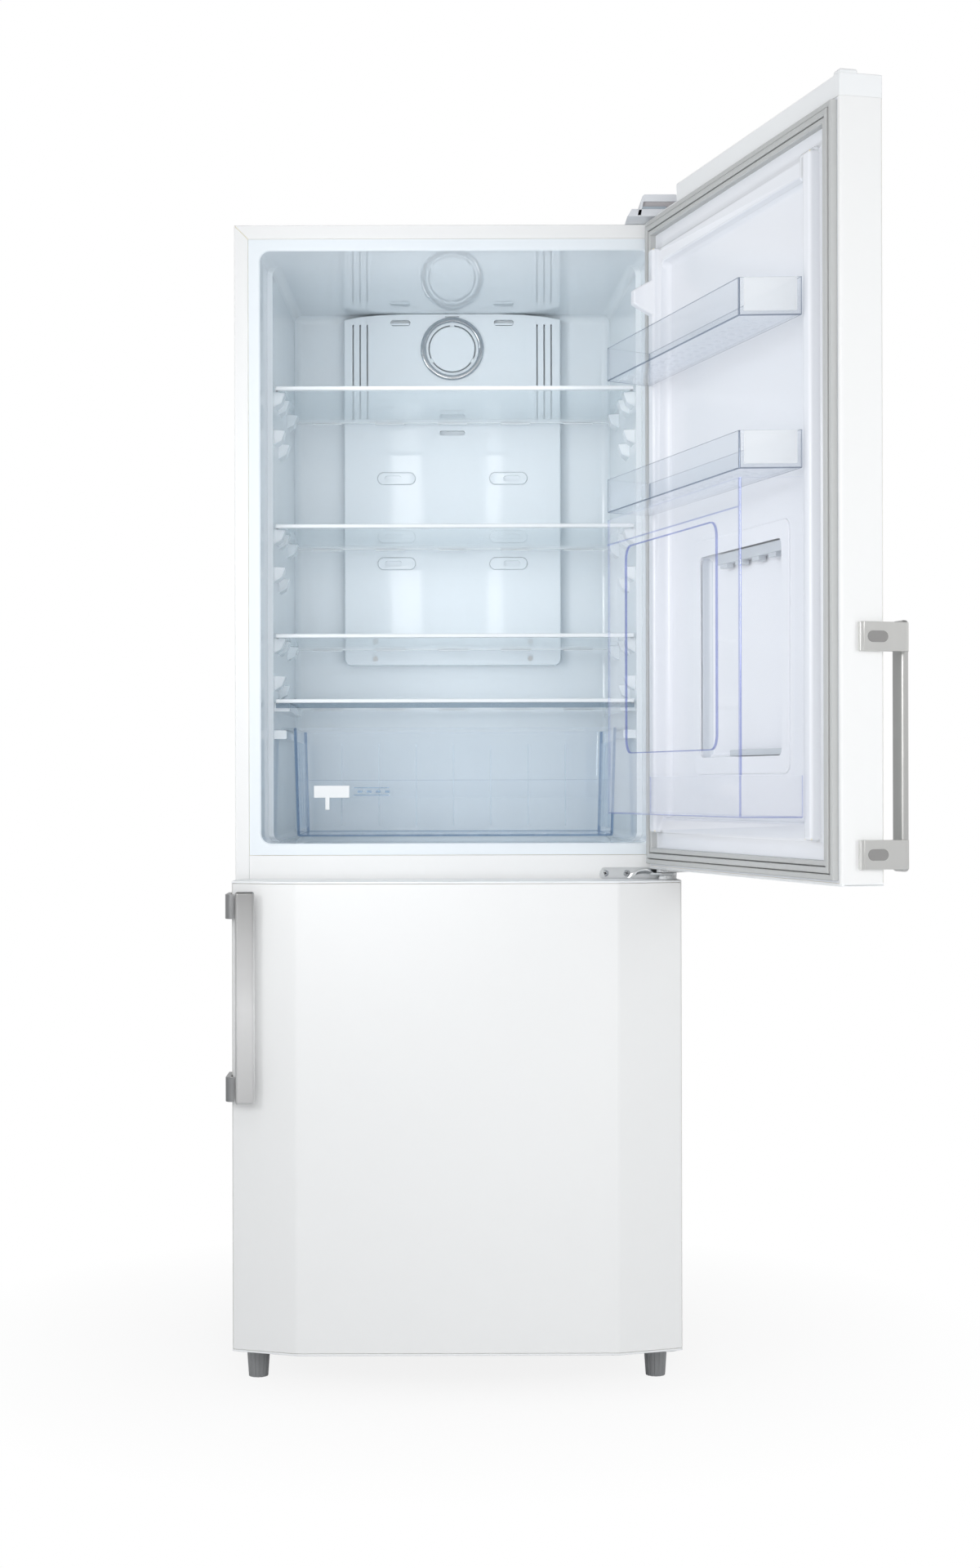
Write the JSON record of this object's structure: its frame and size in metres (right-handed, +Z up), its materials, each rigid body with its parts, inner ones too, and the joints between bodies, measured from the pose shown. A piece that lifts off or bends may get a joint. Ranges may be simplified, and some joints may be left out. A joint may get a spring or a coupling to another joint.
{
  "type": "bottom freezer refrigerator",
  "caption": "Upright refrigerator with a large upper door, shelves, door bins and a crisper above a freezer compartment with pull-out drawers behind a lower door.",
  "frame": {"origin": "centre of the flat middle of the cabinet's underside, 60 mm above the floor the feet stand on", "axes": "+Z up, -Y to the front where the doors are, +X to the right as one faces the doors"},
  "size_m": [0.9464, 1.2901, 1.8685],
  "materials": {
    "white_paint": "gloss enamel on steel",
    "white_plastic": "moulded, glossy",
    "liner_white": "vacuum formed, glossy, cool white",
    "foam": "rigid foam, matt",
    "shelf_glass": "tempered, clear",
    "clear_plastic": "clear moulded plastic with a lilac cast",
    "crisper_plastic": "clear moulded plastic with a blue cast",
    "seal_grey": "soft light grey seal",
    "satin_metal": "satin",
    "zinc_steel": "zinc plated",
    "chrome": "polished",
    "light_grey_plastic": "moulded, satin",
    "grey_plastic": "moulded, satin",
    "dark_plastic": "moulded, matt",
    "black_paint": "semi gloss",
    "coil_metal": "bare, dull",
    "galvanised_steel": "galvanised, dull"
  },
  "bodies": {
    "cabinet": {"cabinet_shell": "white_paint", "back_panel": "galvanised_steel", "base_pan": "galvanised_steel", "insulation_foam": "foam", "fridge_liner": "liner_white", "freezer_liner": "liner_white", "crossbar": "white_paint", "bay_cover": "galvanised_steel", "compressor": "black_paint", "condenser_coil": "coil_metal", "evaporation_tray": "dark_plastic", "power_inlet": "dark_plastic", "evaporator": "coil_metal", "evaporator_cover": "liner_white", "air_duct_cover": "liner_white", "duct_ring": "chrome", "screws": "zinc_steel", "top_hinge": "zinc_steel", "top_hinge_cover": "light_grey_plastic", "mid_hinge": "zinc_steel", "bottom_hinge": "zinc_steel", "roller_axles": "zinc_steel", "crisper_cover": "shelf_glass", "crisper_cover_trims": "white_plastic"},
    "left_foot_body": {"left_foot": "grey_plastic"},
    "right_foot_body": {"right_foot": "grey_plastic"},
    "left_roller_body": {"left_roller": "dark_plastic"},
    "right_roller_body": {"right_roller": "dark_plastic"},
    "freezer_fan_body": {"freezer_fan": "dark_plastic"},
    "upper_shelf_body": {"upper_shelf": "shelf_glass", "upper_shelf_trims": "white_plastic"},
    "middle_shelf_body": {"middle_shelf": "shelf_glass", "middle_shelf_trims": "white_plastic"},
    "lower_shelf_body": {"lower_shelf": "shelf_glass", "lower_shelf_trims": "white_plastic"},
    "crisper_body": {"crisper": "crisper_plastic"},
    "humidity_slider_body": {"humidity_slider": "white_plastic"},
    "fridge_door": {"fridge_door_panel": "white_paint", "fridge_door_foam": "foam", "fridge_door_liner": "liner_white", "fridge_door_top_cap": "white_plastic", "fridge_door_bottom_cap": "white_plastic", "fridge_door_seal": "seal_grey", "fridge_handle_brackets": "satin_metal", "fridge_handle_bar": "satin_metal", "tank_rails": "grey_plastic"},
    "upper_door_bin_body": {"upper_door_bin": "clear_plastic"},
    "middle_door_bin_body": {"middle_door_bin": "clear_plastic"},
    "bottle_bin_body": {"bottle_bin": "clear_plastic", "bottle_guard": "clear_plastic"},
    "freezer_door": {"freezer_door_panel": "white_paint", "freezer_door_foam": "foam", "freezer_door_liner": "liner_white", "freezer_door_caps": "white_plastic", "freezer_door_seal": "seal_grey", "freezer_handle_brackets": "satin_metal", "freezer_handle_bar": "satin_metal"},
    "lower_drawer_body": {"lower_drawer": "clear_plastic"},
    "middle_drawer_body": {"middle_drawer": "clear_plastic"},
    "upper_drawer_body": {"upper_drawer": "clear_plastic"}
  },
  "joints": [
    {"name": "fridge_door_hinge", "type": "hinge", "parent": "cabinet", "child": "fridge_door", "pos_m": [0.33, -0.327, 0.753], "axis": [0, 0, 1], "range_deg": [-105.2, 9.8]},
    {"name": "freezer_door_hinge", "type": "hinge", "parent": "cabinet", "child": "freezer_door", "pos_m": [0.33, -0.327, 0.005], "axis": [0, 0, 1], "range_deg": [0, 115]},
    {"name": "upper_shelf_slide", "type": "slide", "parent": "cabinet", "child": "upper_shelf_body", "axis": [0, -1, 0], "range_m": [0, 0.15]},
    {"name": "middle_shelf_slide", "type": "slide", "parent": "cabinet", "child": "middle_shelf_body", "axis": [0, -1, 0], "range_m": [0, 0.15]},
    {"name": "lower_shelf_slide", "type": "slide", "parent": "cabinet", "child": "lower_shelf_body", "axis": [0, -1, 0], "range_m": [0, 0.15]},
    {"name": "crisper_slide", "type": "slide", "parent": "cabinet", "child": "crisper_body", "axis": [0, -1, 0], "range_m": [0, 0.22]},
    {"name": "humidity_slide", "type": "slide", "parent": "crisper_body", "child": "humidity_slider_body", "axis": [1, 0, 0], "range_m": [0, 0.02]},
    {"name": "upper_door_bin_lift", "type": "slide", "parent": "fridge_door", "child": "upper_door_bin_body", "axis": [0, 0, 1], "range_m": [0, 0.025]},
    {"name": "middle_door_bin_lift", "type": "slide", "parent": "fridge_door", "child": "middle_door_bin_body", "axis": [0, 0, 1], "range_m": [0, 0.025]},
    {"name": "bottle_bin_lift", "type": "slide", "parent": "fridge_door", "child": "bottle_bin_body", "axis": [0, 0, 1], "range_m": [0, 0.009]},
    {"name": "left_foot_turn", "type": "hinge", "parent": "cabinet", "child": "left_foot_body", "pos_m": [-0.318, -0.257, -0.03], "axis": [0, 0, 1], "continuous": true},
    {"name": "right_foot_turn", "type": "hinge", "parent": "cabinet", "child": "right_foot_body", "pos_m": [0.318, -0.257, -0.03], "axis": [0, 0, 1], "continuous": true},
    {"name": "left_roller_turn", "type": "hinge", "parent": "cabinet", "child": "left_roller_body", "pos_m": [-0.3, 0.25, -0.042], "axis": [1, 0, 0], "continuous": true},
    {"name": "right_roller_turn", "type": "hinge", "parent": "cabinet", "child": "right_roller_body", "pos_m": [0.3, 0.25, -0.042], "axis": [1, 0, 0], "continuous": true},
    {"name": "freezer_fan_turn", "type": "hinge", "parent": "cabinet", "child": "freezer_fan_body", "pos_m": [0, 0.178, 0.61], "axis": [0, 1, 0], "continuous": true},
    {"name": "lower_drawer_slide", "type": "slide", "parent": "cabinet", "child": "lower_drawer_body", "axis": [0, -1, 0], "range_m": [0, 0.138]},
    {"name": "middle_drawer_slide", "type": "slide", "parent": "cabinet", "child": "middle_drawer_body", "axis": [0, -1, 0], "range_m": [0, 0.138]},
    {"name": "upper_drawer_slide", "type": "slide", "parent": "cabinet", "child": "upper_drawer_body", "axis": [0, -1, 0], "range_m": [0, 0.138]}
  ],
  "couplings": [
    {"joint": "lower_drawer_slide", "follows": "freezer_door_hinge", "m_per_rad": 0.0687},
    {"joint": "middle_drawer_slide", "follows": "freezer_door_hinge", "m_per_rad": 0.0687},
    {"joint": "upper_drawer_slide", "follows": "freezer_door_hinge", "m_per_rad": 0.0687}
  ]
}
